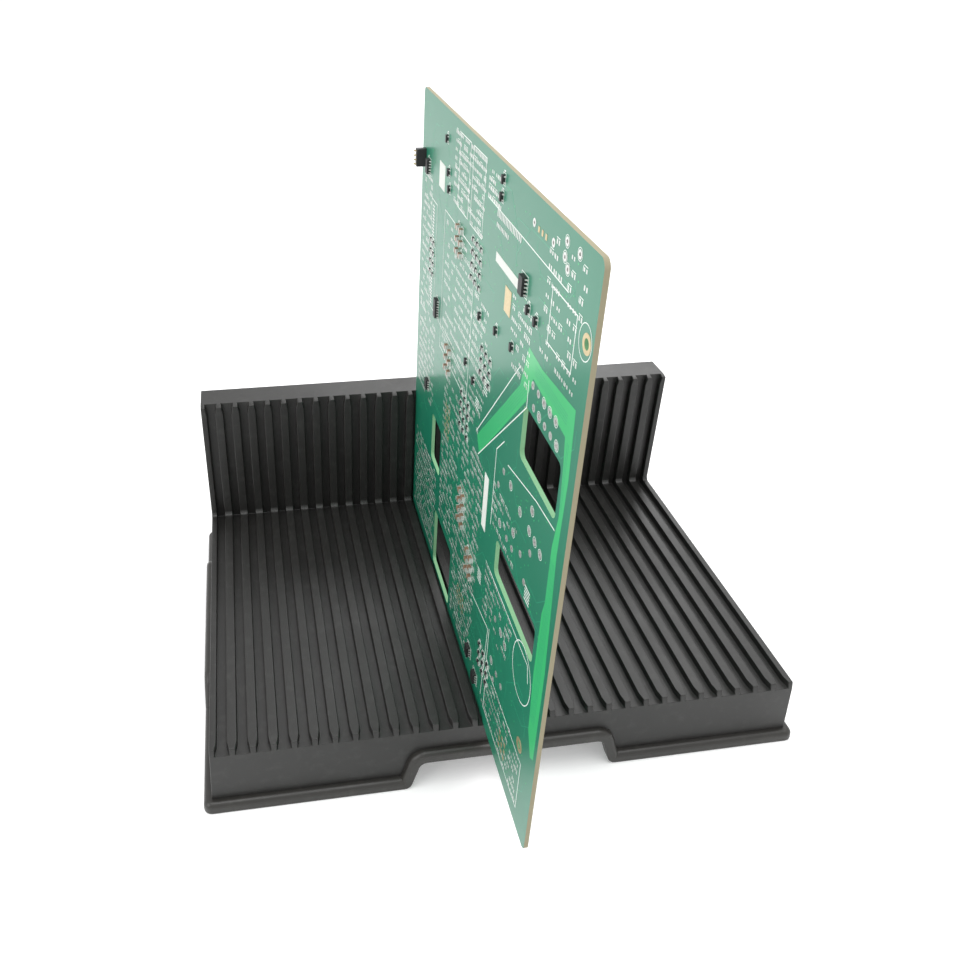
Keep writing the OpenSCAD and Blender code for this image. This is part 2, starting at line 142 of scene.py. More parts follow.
def add_node(tree, kind, **values):
    """A node of one kind, with its plain properties set."""
    node = tree.nodes.new(kind)
    for key, value in values.items():
        setattr(node, key, value)
    return node


# %% [markdown]
# ## Moulded skin, an effect shared by every plastic piece
# Moulded plastic is never quite even. A spark-etched mould leaves a fine grain, the
# melt leaves broad soft patches of a slightly different sheen, and handling leaves
# faint pale rubbing. One node group makes all three from noise at three sizes, and
# puts out a colour, a roughness and a normal. Each plastic sets its own amounts.


# %% Build the moulded-skin group
def make_moulded_skin():
    """Group: Tint, Rubbed Tint, Roughness, Grain -> Color, Roughness, Normal."""
    group = bpy.data.node_groups.new("moulded_skin", "ShaderNodeTree")
    face = group.interface
    for name, kind, value in (
        ("Tint", "NodeSocketColor", (0.03, 0.03, 0.03, 1.0)),
        ("Rubbed Tint", "NodeSocketColor", (0.08, 0.08, 0.08, 1.0)),
        ("Roughness", "NodeSocketFloat", 0.45),
        ("Grain", "NodeSocketFloat", 0.1),
    ):
        socket = face.new_socket(name, in_out="INPUT", socket_type=kind)
        socket.default_value = value
    for name, kind in (
        ("Color", "NodeSocketColor"), ("Roughness", "NodeSocketFloat"), ("Normal", "NodeSocketVector"),
    ):
        face.new_socket(name, in_out="OUTPUT", socket_type=kind)
    entry = add_node(group, "NodeGroupInput")
    leave = add_node(group, "NodeGroupOutput")
    where = add_node(group, "ShaderNodeTexCoord")
    fine = add_node(group, "ShaderNodeTexNoise")
    fine.inputs["Scale"].default_value = 2600.0
    fine.inputs["Detail"].default_value = 2.0
    broad = add_node(group, "ShaderNodeTexNoise")
    broad.inputs["Scale"].default_value = 26.0
    broad.inputs["Detail"].default_value = 4.0
    rubs = add_node(group, "ShaderNodeTexNoise")
    rubs.inputs["Scale"].default_value = 190.0
    rubs.inputs["Detail"].default_value = 6.0
    rubs.inputs["Roughness"].default_value = 0.65
    for noise in (fine, broad, rubs):
        join_sockets(group, where.outputs["Object"], noise.inputs["Vector"])
    rub_share = add_node(group, "ShaderNodeMapRange", clamp=True)
    rub_share.inputs["From Min"].default_value = 0.52
    rub_share.inputs["From Max"].default_value = 0.80
    rub_share.inputs["To Max"].default_value = 0.55
    join_sockets(group, rubs.outputs["Fac"], rub_share.inputs["Value"])
    tint = add_node(group, "ShaderNodeMix", data_type="RGBA")
    join_sockets(group, rub_share.outputs["Result"], tint.inputs["Factor"])
    join_sockets(group, entry.outputs["Tint"], tint.inputs["A"])
    join_sockets(group, entry.outputs["Rubbed Tint"], tint.inputs["B"])
    join_sockets(group, tint.outputs["Result"], leave.inputs["Color"])
    spread = add_node(group, "ShaderNodeMapRange", clamp=True)
    spread.inputs["From Min"].default_value = 0.3
    spread.inputs["From Max"].default_value = 0.7
    spread.inputs["To Min"].default_value = -0.07
    spread.inputs["To Max"].default_value = 0.07
    join_sockets(group, broad.outputs["Fac"], spread.inputs["Value"])
    rough = add_node(group, "ShaderNodeMath", operation="ADD", use_clamp=True)
    join_sockets(group, entry.outputs["Roughness"], rough.inputs[0])
    join_sockets(group, spread.outputs["Result"], rough.inputs[1])
    join_sockets(group, rough.outputs["Value"], leave.inputs["Roughness"])
    bump = add_node(group, "ShaderNodeBump")
    bump.inputs["Distance"].default_value = 0.00008
    join_sockets(group, entry.outputs["Grain"], bump.inputs["Strength"])
    join_sockets(group, fine.outputs["Fac"], bump.inputs["Height"])
    join_sockets(group, bump.outputs["Normal"], leave.inputs["Normal"])
    return group


moulded_skin = make_moulded_skin()


def plastic(name, tint, rubbed, roughness, grain, coat=0.0):
    """A moulded plastic finish."""
    material, shader = new_finish(name)
    tree = material.node_tree
    skin = add_node(tree, "ShaderNodeGroup", node_tree=moulded_skin)
    skin.inputs["Tint"].default_value = (*tint, 1.0)
    skin.inputs["Rubbed Tint"].default_value = (*rubbed, 1.0)
    skin.inputs["Roughness"].default_value = roughness
    skin.inputs["Grain"].default_value = grain
    join_sockets(tree, skin.outputs["Color"], shader.inputs["Base Color"])
    join_sockets(tree, skin.outputs["Roughness"], shader.inputs["Roughness"])
    join_sockets(tree, skin.outputs["Normal"], shader.inputs["Normal"])
    if coat:
        shader.inputs["Coat Weight"].default_value = coat
        shader.inputs["Coat Roughness"].default_value = 0.25
    return material


conductive_black = plastic("conductive_black", (0.0155, 0.0150, 0.0140), (0.045, 0.044, 0.042), 0.42, 0.35)
bead_black = plastic("bead_black", (0.022, 0.0205, 0.018), (0.05, 0.047, 0.04), 0.38, 0.3)
case_black = plastic("case_black", (0.012, 0.012, 0.013), (0.03, 0.03, 0.03), 0.5, 0.4)
chip_brown = plastic("chip_brown", (0.24, 0.15, 0.09), (0.34, 0.24, 0.16), 0.5, 0.2)
label_white = plastic("label_white", (0.72, 0.75, 0.70), (0.60, 0.64, 0.58), 0.55, 0.15)
print("plastics:", [m.name for m in (conductive_black, bead_black, case_black, chip_brown, label_white)])

# %% [markdown]
# ## The rack as one moulding
# The solids give the rack as skins, skirts and ribs that meet face to face. On the
# real rack there are no joints between them, so a union melts them into one skin.
# Its edges are then rounded by a third of a millimetre with a Bevel modifier,
# because a mould has no knife edges, and those tiny rounds are what catches the
# light along every rib. Points are first set on a grid of a micrometre, so that
# faces that touch do so exactly.

# %% Melt the skins and ribs together
MOULDING = (
    "floor_deck", "front_skirt", "rear_skirt", "left_skirt", "right_skirt",
    "wall_front_skin", "wall_back_skin", "wall_cap", "left_wall_end", "right_wall_end",
    "floor_ribs", "wall_ribs", "deck_webs", "wall_webs",
)


FLAT_ANGLE = 0.4


def welded_copy(node, name):
    """A closed copy of a solid, with its loose triangles welded and its flat faces whole."""
    shape = bmesh.new()
    shape.from_mesh(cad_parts[node].data)
    for vertex in shape.verts:
        vertex.co = Vector([round(c, 6) for c in vertex.co])
    bmesh.ops.remove_doubles(shape, verts=shape.verts, dist=0.000002)
    bmesh.ops.dissolve_limit(
        shape, angle_limit=math.radians(FLAT_ANGLE), verts=shape.verts, edges=shape.edges,
        use_dissolve_boundaries=False,
    )
    mesh = bpy.data.meshes.new(name)
    shape.to_mesh(mesh)
    shape.free()
    piece = bpy.data.objects.new(name, mesh)
    bpy.context.scene.collection.objects.link(piece)
    return piece


def melt_together(nodes, name):
    """The union of several solids as one mesh."""
    whole = welded_copy(nodes[0], name)
    for node in nodes[1:]:
        other = welded_copy(node, node + "_part")
        union = whole.modifiers.new("union", "BOOLEAN")
        union.operation = "UNION"
        union.solver = "EXACT"
        union.object = other
        bpy.context.view_layer.update()
        melted = bpy.data.meshes.new_from_object(whole.evaluated_get(bpy.context.evaluated_depsgraph_get()))
        whole.modifiers.clear()
        whole.data = melted
        bpy.data.objects.remove(other)
    shape = bmesh.new()
    shape.from_mesh(whole.data)
    bmesh.ops.remove_doubles(shape, verts=shape.verts, dist=0.000004)
    bmesh.ops.dissolve_limit(
        shape, angle_limit=math.radians(FLAT_ANGLE), verts=shape.verts, edges=shape.edges,
        use_dissolve_boundaries=False,
    )
    bmesh.ops.recalc_face_normals(shape, faces=shape.faces)
    shape.to_mesh(whole.data)
    shape.free()
    return whole


def soften(piece, width, segments=2, angle=32.0):
    """Round the edges of a piece and shade its flats flat."""
    for polygon in piece.data.polygons:
        polygon.use_smooth = True
    rounding = piece.modifiers.new("rounded edges", "BEVEL")
    rounding.width = width
    rounding.segments = segments
    rounding.limit_method = "ANGLE"
    rounding.angle_limit = math.radians(angle)
    rounding.use_clamp_overlap = True
    shading = piece.modifiers.new("flat faces stay flat", "WEIGHTED_NORMAL")
    shading.keep_sharp = True
    shading.weight = 50


def dress(piece, material, body):
    """Give a finished piece its finish and its body."""
    piece.data.materials.clear()
    piece.data.materials.append(material)
    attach(piece, body)
    return piece


rack_moulding = melt_together(MOULDING, "rack_moulding")
soften(rack_moulding, 0.35 * MM)
dress(rack_moulding, conductive_black, "rack")
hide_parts(*MOULDING)
print("moulding:", len(rack_moulding.data.polygons), "faces")

# %% [markdown]
# ## The bead round the foot
# The bead is a rolled edge that stiffens the skirts. It is a sweep with a round
# outer side, so here it only needs welding and smooth shading: edges flatter than
# about thirty degrees are shaded round, and the rest stay crisp.

# %% Smooth the bead
for node in ("front_bead", "rear_bead", "left_bead", "right_bead"):
    bead = welded_copy(node, node + "_smooth")
    soften(bead, 0.15 * MM, segments=1, angle=50.0)
    dress(bead, bead_black, "rack")
    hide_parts(node)
    print(bead.name, len(bead.data.polygons), "faces")

# %% [markdown]
# ## The board's laminate
# The board is glass-fibre laminate under a glossy green mask. Its faces are green,
# its sawn outer edge is bare and tan, and the walls of its windows are pale green.
# The solid keeps its shape and only gets a finish. The finish tells an edge from a
# face by the direction the surface looks in, and an outer edge from a window by how
# far it is from the board's middle. A coat on top gives the wet-looking gloss.


# %% Finish the laminate
def mask_between(tree, value, low, high, soft):
    """1 where a coordinate lies between low and high, 0 outside."""
    rise = add_node(tree, "ShaderNodeMapRange", clamp=True)
    rise.inputs["From Min"].default_value = low - soft
    rise.inputs["From Max"].default_value = low + soft
    fall = add_node(tree, "ShaderNodeMapRange", clamp=True)
    fall.inputs["From Min"].default_value = high - soft
    fall.inputs["From Max"].default_value = high + soft
    fall.inputs["To Min"].default_value = 1.0
    fall.inputs["To Max"].default_value = 0.0
    both = add_node(tree, "ShaderNodeMath", operation="MULTIPLY")
    join_sockets(tree, value, rise.inputs["Value"])
    join_sockets(tree, value, fall.inputs["Value"])
    join_sockets(tree, rise.outputs["Result"], both.inputs[0])
    join_sockets(tree, fall.outputs["Result"], both.inputs[1])
    return both.outputs["Value"]


def solder_mask(name, dark, light, edges=False):
    """Glossy green mask over copper, with the laminate's bare edges if asked."""
    material, shader = new_finish(name)
    tree = material.node_tree
    where = add_node(tree, "ShaderNodeTexCoord")
    cloud = add_node(tree, "ShaderNodeTexNoise")
    cloud.inputs["Scale"].default_value = 18.0
    cloud.inputs["Detail"].default_value = 3.0
    weave = add_node(tree, "ShaderNodeTexNoise")
    weave.inputs["Scale"].default_value = 900.0
    weave.inputs["Detail"].default_value = 2.0
    join_sockets(tree, where.outputs["Object"], cloud.inputs["Vector"])
    join_sockets(tree, where.outputs["Object"], weave.inputs["Vector"])
    green = add_node(tree, "ShaderNodeMix", data_type="RGBA")
    green.inputs["A"].default_value = (*dark, 1.0)
    green.inputs["B"].default_value = (*light, 1.0)
    join_sockets(tree, cloud.outputs["Fac"], green.inputs["Factor"])
    colour = green.outputs["Result"]
    shader.inputs["Roughness"].default_value = 0.42
    shader.inputs["Coat Roughness"].default_value = 0.17
    bump = add_node(tree, "ShaderNodeBump")
    bump.inputs["Strength"].default_value = 0.12
    bump.inputs["Distance"].default_value = 0.00005
    join_sockets(tree, weave.outputs["Fac"], bump.inputs["Height"])
    join_sockets(tree, bump.outputs["Normal"], shader.inputs["Normal"])
    if not edges:
        shader.inputs["Coat Weight"].default_value = 0.3
        join_sockets(tree, colour, shader.inputs["Base Color"])
        return material
    place = add_node(tree, "ShaderNodeSeparateXYZ")
    join_sockets(tree, where.outputs["Object"], place.inputs["Vector"])
    inside_y = mask_between(tree, place.outputs["Y"], board_low.y + 0.0015, board_high.y - 0.0015, 0.0002)
    inside_z = mask_between(tree, place.outputs["Z"], board_low.z + 0.0015, board_high.z - 0.0015, 0.0002)
    inside = add_node(tree, "ShaderNodeMath", operation="MULTIPLY")
    join_sockets(tree, inside_y, inside.inputs[0])
    join_sockets(tree, inside_z, inside.inputs[1])
    sawn = add_node(tree, "ShaderNodeMix", data_type="RGBA")
    sawn.inputs["A"].default_value = (0.29, 0.26, 0.17, 1.0)
    sawn.inputs["B"].default_value = (0.17, 0.36, 0.19, 1.0)
    join_sockets(tree, inside.outputs["Value"], sawn.inputs["Factor"])
    looks = add_node(tree, "ShaderNodeSeparateXYZ")
    join_sockets(tree, where.outputs["Normal"], looks.inputs["Vector"])
    sideways = add_node(tree, "ShaderNodeMath", operation="ABSOLUTE")
    join_sockets(tree, looks.outputs["X"], sideways.inputs[0])
    is_face = add_node(tree, "ShaderNodeMath", operation="GREATER_THAN")
    is_face.inputs[1].default_value = 0.5
    join_sockets(tree, sideways.outputs["Value"], is_face.inputs[0])
    colours = add_node(tree, "ShaderNodeMix", data_type="RGBA")
    join_sockets(tree, is_face.outputs["Value"], colours.inputs["Factor"])
    join_sockets(tree, sawn.outputs["Result"], colours.inputs["A"])
    join_sockets(tree, colour, colours.inputs["B"])
    join_sockets(tree, colours.outputs["Result"], shader.inputs["Base Color"])
    rough = add_node(tree, "ShaderNodeMapRange", clamp=True)
    rough.inputs["To Min"].default_value = 0.8
    rough.inputs["To Max"].default_value = 0.42
    join_sockets(tree, is_face.outputs["Value"], rough.inputs["Value"])
    join_sockets(tree, rough.outputs["Result"], shader.inputs["Roughness"])
    coat = add_node(tree, "ShaderNodeMath", operation="MULTIPLY")
    coat.inputs[1].default_value = 0.3
    join_sockets(tree, is_face.outputs["Value"], coat.inputs[0])
    join_sockets(tree, coat.outputs["Value"], shader.inputs["Coat Weight"])
    return material


mask_on_laminate = solder_mask("mask_on_laminate", (0.003, 0.155, 0.085), (0.006, 0.210, 0.118), edges=True)
mask_on_copper = solder_mask("mask_on_copper", (0.020, 0.42, 0.13), (0.035, 0.50, 0.17))
mask_on_trace = solder_mask("mask_on_trace", (0.010, 0.260, 0.140), (0.018, 0.320, 0.170))
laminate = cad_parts["board_laminate"]
laminate.data.materials.clear()
laminate.data.materials.append(mask_on_laminate)
print("laminate finished:", laminate.name)


# %% [markdown]
# ## Metals and inks of the board
# Tinned pads are dull silver with a slightly uneven melt, bare copper under its
# lacquer is a brownish gold, and the white marking ink is a thin matt film.


# %% Make the metals and the ink
def board_metal(name, tint, dull, roughness):
    """A soldered or plated metal with small uneven patches."""
    material, shader = new_finish(name)
    tree = material.node_tree
    where = add_node(tree, "ShaderNodeTexCoord")
    melt = add_node(tree, "ShaderNodeTexNoise")
    melt.inputs["Scale"].default_value = 1500.0
    melt.inputs["Detail"].default_value = 3.0
    join_sockets(tree, where.outputs["Object"], melt.inputs["Vector"])
    tone = add_node(tree, "ShaderNodeMix", data_type="RGBA")
    tone.inputs["A"].default_value = (*tint, 1.0)
    tone.inputs["B"].default_value = (*dull, 1.0)
    join_sockets(tree, melt.outputs["Fac"], tone.inputs["Factor"])
    join_sockets(tree, tone.outputs["Result"], shader.inputs["Base Color"])
    bump = add_node(tree, "ShaderNodeBump")
    bump.inputs["Strength"].default_value = 0.3
    bump.inputs["Distance"].default_value = 0.00006
    join_sockets(tree, melt.outputs["Fac"], bump.inputs["Height"])
    join_sockets(tree, bump.outputs["Normal"], shader.inputs["Normal"])
    shader.inputs["Metallic"].default_value = 0.75
    shader.inputs["Roughness"].default_value = roughness
    return material


tinned = board_metal("tinned_pads", (0.80, 0.80, 0.77), (0.58, 0.59, 0.57), 0.34)
bare_gold = board_metal("bare_gold", (0.72, 0.60, 0.36), (0.50, 0.38, 0.20), 0.38)
marking_ink = plastic("marking_ink", (0.80, 0.86, 0.81), (0.64, 0.74, 0.67), 0.6, 0.1)
print("metals:", tinned.name, bare_gold.name, "ink:", marking_ink.name)

# %% [markdown]
# ## Finishes for the board's small parts
# The small solids keep their shapes. Each one only needs the right finish in the
# slot that it already has.

# %% Dress the small solids
small_parts = {
    "screw_lands": bare_gold, "terminal_eyelets": tinned, "loose_eyelets": tinned,
    "ribbon_pads": tinned, "chip_pads": bare_gold, "resistor_bodies": case_black,
    "resistor_caps": tinned, "capacitor_bodies": chip_brown, "capacitor_caps": tinned,
    "transistor_cases": case_black, "transistor_legs": tinned, "logic_cases": case_black,
    "logic_legs": tinned, "header_housing": case_black, "header_pins_row": bare_gold,
    "blank_labels": label_white,
}
for node, material in small_parts.items():
    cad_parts[node].data.materials.clear()
    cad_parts[node].data.materials.append(material)
print("small solids dressed:", len(small_parts))


# %% [markdown]
# ## Flat detail on the board
# Copper runs, ink lines and pads are films a few hundredths of a millimetre thick.
# Most are cubes squeezed into thin bars and laid between two places on the board.
# All bars of one kind share a mesh, which keeps the scene light. Each kind has its
# own height above the face, in millimetres, so that no two films share a plane.


# %% Helpers for thin films
RUN_LOW, RUN_HIGH = 0.001, 0.02
BAND_LOW, BAND_HIGH = 0.002, 0.03
RUN_WIDTH, RUN_SPACING = 0.28, 0.75
PAD_LOW, PAD_HIGH = 0.004, 0.05
BEND_STEP = 0.004


def lay_bar(shape, start, end, width, low, high, side=COMPONENT_SIDE):
    """A thin bar from start to end, (u, v) places in millimetres, between two heights."""
    a = board_place(start[0], start[1], (low + high) / 2, side)
    b = board_place(end[0], end[1], (low + high) / 2, side)
    along = b - a
    length = max(along.length, 0.00001)
    direction = along.normalized() if along.length > 0.000001 else Vector((0, 1, 0))
    outward = Vector((1, 0, 0))
    across = outward.cross(direction)
    turn = Matrix((
        (direction.x, across.x, outward.x, (a.x + b.x) / 2),
        (direction.y, across.y, outward.y, (a.y + b.y) / 2),
        (direction.z, across.z, outward.z, (a.z + b.z) / 2),
        (0.0, 0.0, 0.0, 1.0),
    ))
    size = Matrix.Diagonal((length, width * MM, (high - low) * MM, 1.0))
    bmesh.ops.create_cube(shape, size=1.0, matrix=turn @ size)


def lay_path(shape, path, width, low, high, side=COMPONENT_SIDE):
    """Bars along a path, a little long so that bends close, with tops that never coincide."""
    for turn, (start, end) in enumerate(zip(path[:-1], path[1:])):
        run = Vector((end[0] - start[0], end[1] - start[1]))
        if run.length < 0.001:
            continue
        reach = run.normalized() * width * 0.35
        begin = (start[0] - reach.x, start[1] - reach.y)
        stop = (end[0] + reach.x, end[1] + reach.y)
        lay_bar(shape, begin, stop, width, low, high + BEND_STEP * (turn % 2), side)


def lay_disc(shape, centre, radius, low, high, side=COMPONENT_SIDE, corners=10):
    """A flat round spot."""
    place = board_place(centre[0], centre[1], (low + high) / 2, side)
    bmesh.ops.create_cone(
        shape, cap_ends=True, segments=corners, radius1=radius * MM, radius2=radius * MM,
        depth=(high - low) * MM, matrix=Matrix.Translation(place) @ Matrix.Rotation(math.pi / 2, 4, "Y"),
    )


def lay_ring(shape, centre, radius_u, radius_v, width, low, high, corners=28):
    """A closed thin line round an ellipse."""
    points = [
        (centre[0] + radius_u * math.cos(2 * math.pi * k / corners),
         centre[1] + radius_v * math.sin(2 * math.pi * k / corners))
        for k in range(corners + 1)
    ]
    lay_path(shape, points, width, low, high)


def film(shape, name, material):
    """Turn a finished shape into a piece that rides on the board."""
    bmesh.ops.recalc_face_normals(shape, faces=shape.faces)
    mesh = bpy.data.meshes.new(name)
    shape.to_mesh(mesh)
    shape.free()
    piece = bpy.data.objects.new(name, mesh)
    bpy.context.scene.collection.objects.link(piece)
    dress(piece, material, "board")
    print(name, len(mesh.polygons), "faces")
    return piece


# %% [markdown]
# ## Where things stand on the board
# The chips and eyelets of the solids are read back as rectangles in board coordinates, and the windows are
# listed. The ink then goes round the real chips, and the copper runs keep clear of the windows.


# %% Read the rectangles of the small solids
def rectangles(node):
    """One (low u, low v, high u, high v) rectangle for each loose piece of a solid."""
    shape = bmesh.new()
    shape.from_mesh(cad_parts[node].data)
    bmesh.ops.remove_doubles(shape, verts=shape.verts, dist=0.000002)
    left = set(shape.verts)
    found = []
    while left:
        group, edge_of_group = set(), [left.pop()]
        while edge_of_group:
            vertex = edge_of_group.pop()
            group.add(vertex)
            for edge in vertex.link_edges:
                other = edge.other_vert(vertex)
                if other in left:
                    left.remove(other)
                    edge_of_group.append(other)
        us = [(board_high.y - v.co.y) / MM for v in group]
        vs = [(v.co.z - board_low.z) / MM for v in group]
        found.append((min(us), min(vs), max(us), max(vs)))
    shape.free()
    return sorted(found)


chip_nodes = ("resistor_bodies", "capacitor_bodies", "transistor_cases", "logic_cases")
chips = {node: rectangles(node) for node in chip_nodes}
eyelets = rectangles("terminal_eyelets") + rectangles("loose_eyelets")
labels = rectangles("blank_labels")
windows = [(177, 143, 214, 163), (161, 80, 210, 96), (43.5, 58, 63, 83.5), (58, 3.2, 94, 35.5)]
keep_out = windows + labels + eyelets + rectangles("screw_lands")
keep_out += [chip for group in chips.values() for chip in group]
print("chips:", {name: len(found) for name, found in chips.items()}, "eyelets:", len(eyelets))


def is_clear(low_u, low_v, high_u, high_v, margin=0.5):
    """Whether a rectangle stays off the windows, parts and edges."""
    if low_u < 3.2 or low_v < 4.0 or high_u > 222.5 or high_v > 226.5:
        return False
    return not any(
        low_u < r[2] + margin and high_u > r[0] - margin
        and low_v < r[3] + margin and high_v > r[1] - margin
        for r in keep_out
    )


# %% [markdown]
# ## The bright ground band
# A broad copper band, seen as a lighter green, runs down the board's front edge,
# turns back over the top of the upper window and comes down in a slant towards the
# middle. It is one flat outline, extruded to a film: bars laid over each other would
# share their top faces and show dark where they cross. Thin lines run along it, each
# stretch a hair higher than the last for the same reason.

# %% Lay the band and its fine lines
band_outline = [
    (129.3, 113.9), (125.1, 120.0), (170.9, 166.3), (176.4, 182.7), (190.0, 181.7),
    (219.0, 184.0), (220.4, 162.0), (219.2, 134.0), (222.4, 88.0), (222.4, 47.0),
    (219.5, 45.0), (214.9, 54.0), (213.1, 80.0), (213.4, 106.0), (214.9, 112.0),
    (214.7, 134.0), (217.0, 147.0), (215.4, 164.0), (214.0, 172.6), (183.0, 175.0),
    (178.3, 164.4),
]


def lay_outline(shape, outline, low, high, side=COMPONENT_SIDE):
    """A flat outline extruded to a film between two heights."""
    corners = [shape.verts.new(board_place(u, v, low, side)) for u, v in outline]
    base = shape.faces.new(corners)
    raised = bmesh.ops.extrude_face_region(shape, geom=[base])
    top = [part for part in raised["geom"] if isinstance(part, bmesh.types.BMVert)]
    bmesh.ops.translate(shape, verts=top, vec=(side * (high - low) * MM, 0, 0))
    bmesh.ops.triangulate(shape, faces=shape.faces)


shape = bmesh.new()
lay_outline(shape, band_outline, BAND_LOW, BAND_HIGH)
film(shape, "ground_band", mask_on_copper)

line_paths = [
    ((217.2, 60.0), (217.2, 130.0), 5), ((217.4, 150.0), (216.8, 172.0), 2),
    ((214.0, 178.0), (184.0, 178.6), 4), ((176.0, 168.5), (129.6, 119.6), 6),
]
shape = bmesh.new()
for step, (start, end, lines) in enumerate(line_paths):
    run = Vector((end[0] - start[0], end[1] - start[1])).normalized()
    across = Vector((-run.y, run.x))
    for k in range(lines):
        shift = across * (k - (lines - 1) / 2)
        begin = (start[0] + shift.x, start[1] + shift.y)
        stop = (end[0] + shift.x, end[1] + shift.y)
        lay_bar(shape, begin, stop, 0.18, BAND_HIGH, 0.040 + 0.001 * step)
film(shape, "band_lines", mask_on_trace)

# %% [markdown]
# ## Copper runs
# Copper runs under the mask go in bundles, straight or at forty-five degrees. A
# seeded random choice places the bundles, so they come out the same every time. A
# run that would cross a window is left out, and so is one that would meet a run that
# is already there, because tracks on one face of a board never cross.

# %% Lay the copper runs
dice = random.Random(5843)


def bundle(start, first, bend, second, runs, spacing):
    """Parallel paths with one forty-five degree bend; first and second are run lengths."""
    turn_u = 1 if first > 0 else -1
    paths = []
    for k in range(runs):
        offset = k * spacing
        a = (start[0], start[1] + offset)
        corner = (start[0] + first + bend * offset * 0.41 * turn_u, start[1] + offset)
        slant = second + 0.829 * bend * offset
        if slant < 0.5:
            continue
        b = (corner[0] + slant * 0.7071 * turn_u, corner[1] + slant * 0.7071 * bend)
        c = (b[0], b[1] + bend * second * 0.5)
        paths.append([a, corner, b, c])
    return paths


def path_is_clear(path):
    """Whether a path stays inside the board and off its windows."""
    for start, end in zip(path[:-1], path[1:]):
        steps = 8
        for k in range(steps + 1):
            u = start[0] + (end[0] - start[0]) * k / steps
            v = start[1] + (end[1] - start[1]) * k / steps
            if not (2.5 < u < 222.5 and 3.5 < v < 226.5):
                return False
            if any(w[0] - 1.0 < u < w[2] + 1.0 and w[1] - 1.0 < v < w[3] + 1.0 for w in windows):
                return False
    return True


def cells_of(path):
    """The cells of a half-millimetre grid that a path runs through."""
    cells = set()
    for start, end in zip(path[:-1], path[1:]):
        steps = max(2, int(4 * math.dist(start, end)))
        for k in range(steps + 1):
            u = start[0] + (end[0] - start[0]) * k / steps
            v = start[1] + (end[1] - start[1]) * k / steps
            cells.add((round(u / 0.5), round(v / 0.5)))
    return cells


for side, name in ((COMPONENT_SIDE, "copper_runs"), (SOLDER_SIDE, "solder_side_runs")):
    shape = bmesh.new()
    laid = 0
    taken = set()
    for _ in range(300):
        start = (dice.uniform(5, 215), dice.uniform(6, 222))
        first = dice.choice((-1, 1)) * dice.uniform(4, 26)
        bend, second, runs = dice.choice((-1, 1)), dice.uniform(3, 18), dice.randint(2, 7)
        for path in bundle(start, first, bend, second, runs, RUN_SPACING):
            cells = cells_of(path)
            if path_is_clear(path) and not cells & taken:
                lay_path(shape, path, RUN_WIDTH, RUN_LOW, RUN_HIGH, side)
                taken |= cells
                laid += 1
    print(name, laid, "runs")
    film(shape, name, mask_on_trace)

# %% [markdown]
# ## Tinned pads and vias
# Most of the board is empty footprints: pairs of small tinned pads in rows, and
# vias, the tiny plated dots that join the two faces. The rows are set out field by
# field, denser towards the rear and the foot, and skip whatever stands there.

# %% Lay the pads and vias
pad_fields = [
    (66, 196, 112, 224, 3.2, 3.4), (118, 213, 132, 225, 2.6, 3.0), (8, 178, 24, 192, 3.4, 3.4),
    (56, 126, 104, 186, 4.2, 4.4), (6, 128, 24, 176, 3.6, 4.2), (108, 120, 128, 174, 3.8, 4.0),
    (156, 168, 176, 194, 3.6, 3.8), (186, 186, 214, 222, 4.4, 4.4), (6, 84, 40, 126, 3.6, 3.8),
    (66, 40, 98, 116, 3.4, 3.6), (6, 6, 56, 56, 3.2, 3.4), (98, 6, 134, 62, 3.2, 3.4),
    (104, 64, 138, 110, 3.4, 3.8), (150, 52, 186, 78, 3.6, 3.8), (160, 8, 208, 34, 3.6, 3.8),
    (152, 98, 180, 118, 3.8, 4.0),
]
shape_pads, shape_ink, shape_vias = bmesh.new(), bmesh.new(), bmesh.new()
pads = vias = 0
for low_u, low_v, high_u, high_v, step_u, step_v in pad_fields:
    v = low_v
    while v < high_v:
        u = low_u
        while u < high_u:
            kind = dice.random()
            if kind < 0.74 and is_clear(u, v, u + 3.0, v + 1.6, 0.3):
                upright = dice.random() < 0.5
                w, h = (0.85, 1.45) if upright else (0.80, 1.15)
                lay_bar(shape_pads, (u + 0.2, v + 0.7), (u + 0.2 + w, v + 0.7), h, PAD_LOW, PAD_HIGH)
                lay_bar(shape_pads, (u + 1.9, v + 0.7), (u + 1.9 + w, v + 0.7), h, PAD_LOW, PAD_HIGH)
                pads += 2
                if dice.random() < 0.55:
                    lay_bar(shape_ink, (u, v + 1.85), (u + 2.9, v + 1.85), 0.28, 0.022, 0.034)
                if dice.random() < 0.4:
                    lay_bar(shape_ink, (u - 0.3, v), (u - 0.3, v + 1.5), 0.28, 0.022, 0.034)
            elif kind < 0.88 and is_clear(u, v, u + 1.0, v + 1.0, 0.2):
                lay_disc(shape_vias, (u + 0.5, v + 0.5), 0.32, 0.004, 0.036, corners=8)
                vias += 1
            u += step_u * dice.uniform(0.85, 1.15)
        v += step_v
for _ in range(620):
    u, v = dice.uniform(5, 220), dice.uniform(6, 224)
    if is_clear(u - 0.4, v - 0.4, u + 0.4, v + 0.4, 0.3):
        lay_disc(shape_vias, (u, v), 0.3, 0.004, 0.034, corners=8)
        lay_disc(shape_vias, (u, v), 0.3, 0.004, 0.034, SOLDER_SIDE, corners=8)
        vias += 2
print("pads:", pads, "vias:", vias)
film(shape_pads, "tinned_pads_field", tinned)
film(shape_vias, "via_dots", mask_on_copper)

# %% [markdown]
# ## White marking ink
# The ink frames the chips and outlines the connectors that aren't fitted. Real
# boards also carry lettering, which is left off here; short plain dashes keep the
# same rhythm beside the parts.

# %% Draw the ink
INK_LOW, INK_HIGH = 0.036, 0.048


